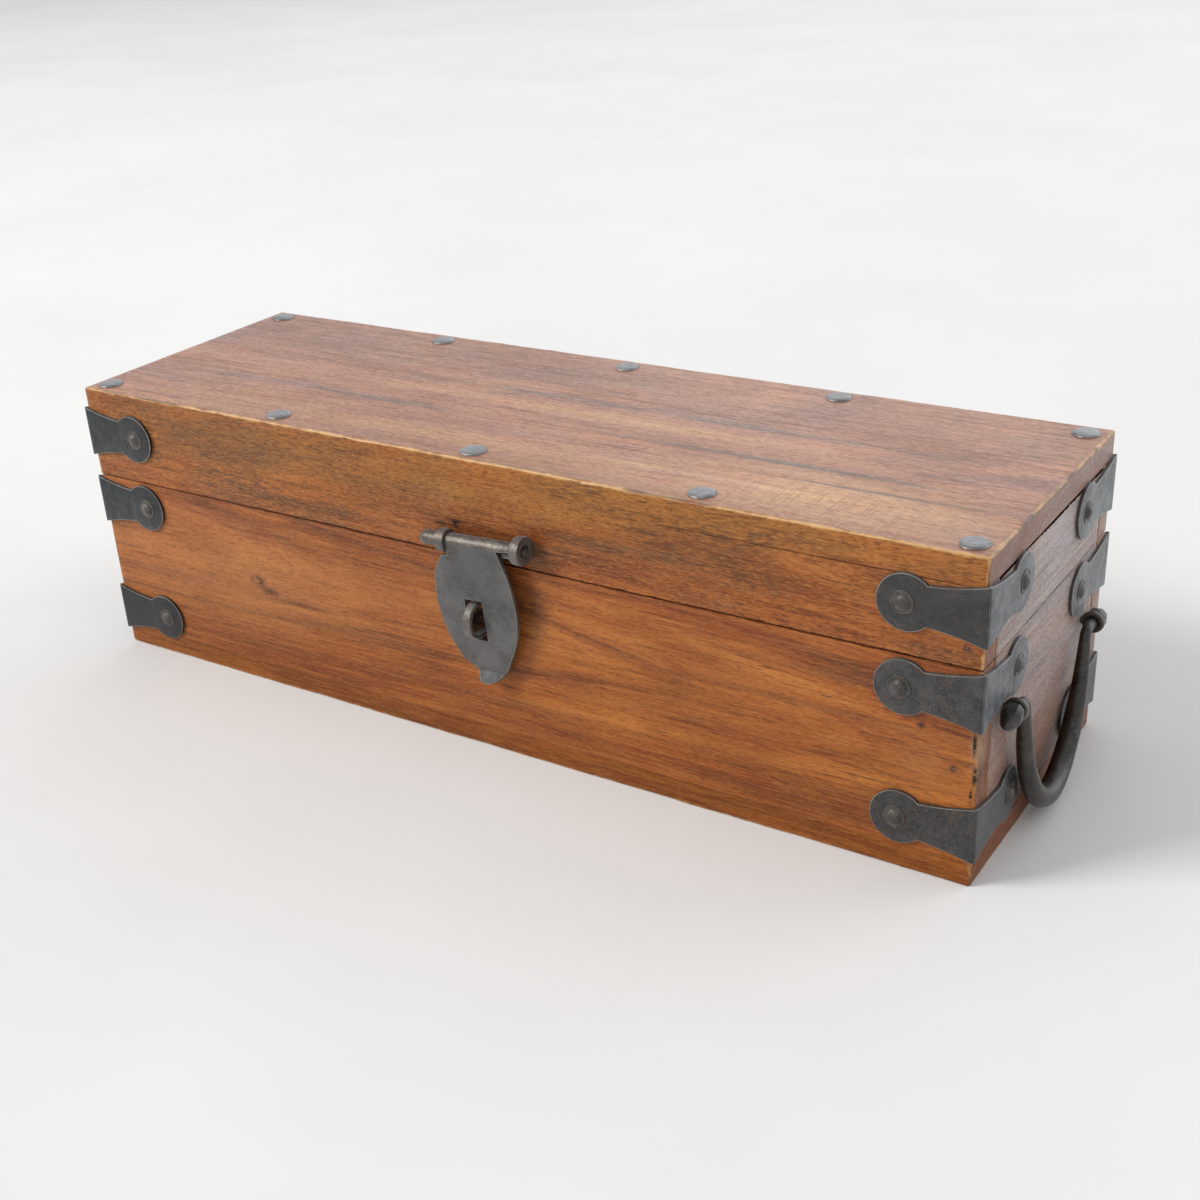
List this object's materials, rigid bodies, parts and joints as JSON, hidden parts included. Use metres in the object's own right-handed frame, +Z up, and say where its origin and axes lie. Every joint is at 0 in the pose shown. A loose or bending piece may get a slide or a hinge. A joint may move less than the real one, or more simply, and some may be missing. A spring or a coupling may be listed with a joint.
{
  "type": "iron-bound wooden box",
  "caption": "Long low hardwood box bound with iron corner straps, with a hinged lid, a hasp over a staple and a drop bail at each end.",
  "frame": {"origin": "centre of the underside, where the box stands on a flat surface", "axes": "+X to the right along the box seen from the front, -Y out of the front, which carries the hasp, +Z up"},
  "size_m": [0.5258, 0.1776, 0.1523],
  "materials": {
    "hardwood": "oiled reddish-brown hardwood, satin, worn",
    "bottom_hardwood": "oiled hardwood, lighter, satin",
    "blackened_iron": "blackened sheet iron, rust flecks, rims worn bare",
    "nail_iron": "forged iron, hammered, dull",
    "hasp_steel": "worn steel sheet, satin, blotchy",
    "bright_iron": "iron rubbed bright on its high sides",
    "forged_iron": "blackened forged iron with a brown patina"
  },
  "bodies": {
    "chest": {"bottom_board": "bottom_hardwood", "front_board": "hardwood", "back_board": "hardwood", "left_end_board": "hardwood", "right_end_board": "hardwood", "upper_straps_front": "blackened_iron", "upper_straps_back": "blackened_iron", "lower_straps_front": "blackened_iron", "lower_straps_back": "blackened_iron", "body_strap_nails": "nail_iron", "left_bail_eyes": "forged_iron", "right_bail_eyes": "forged_iron", "hasp_staple": "bright_iron", "hinge_chest_leaves": "blackened_iron", "hinge_pins": "forged_iron", "hinge_chest_nails": "nail_iron"},
    "lid": {"lid_front_rail": "hardwood", "lid_back_rail": "hardwood", "lid_left_rail": "hardwood", "lid_right_rail": "hardwood", "lid_top_board": "hardwood", "lid_straps_front": "blackened_iron", "lid_straps_back": "blackened_iron", "lid_strap_nails": "nail_iron", "lid_top_nails": "nail_iron", "hasp_eyes": "bright_iron", "hasp_pin": "bright_iron", "hinge_lid_leaves": "blackened_iron", "hinge_lid_nails": "nail_iron"},
    "hasp": {"hasp_plate": "hasp_steel"},
    "right_handle": {"right_bail": "forged_iron"},
    "left_handle": {"left_bail": "forged_iron"}
  },
  "joints": [
    {"name": "lid_hinge", "type": "hinge", "parent": "chest", "child": "lid", "pos_m": [0, 0.0811, 0.102], "axis": [-1, 0, 0], "range_deg": [0, 180]},
    {"name": "hasp_swing", "type": "hinge", "parent": "lid", "child": "hasp", "pos_m": [0.0065, -0.084, 0.1124], "axis": [-0.999, 0, -0.0436], "range_deg": [-2, 185]},
    {"name": "right_bail_swing", "type": "hinge", "parent": "chest", "child": "right_handle", "pos_m": [0.2555, 0, 0.071], "axis": [0, -0.9988, 0.0488], "range_deg": [0, 170]},
    {"name": "left_bail_swing", "type": "hinge", "parent": "chest", "child": "left_handle", "pos_m": [-0.2555, 0, 0.071], "axis": [0, 1, 0], "range_deg": [0, 170]}
  ]
}
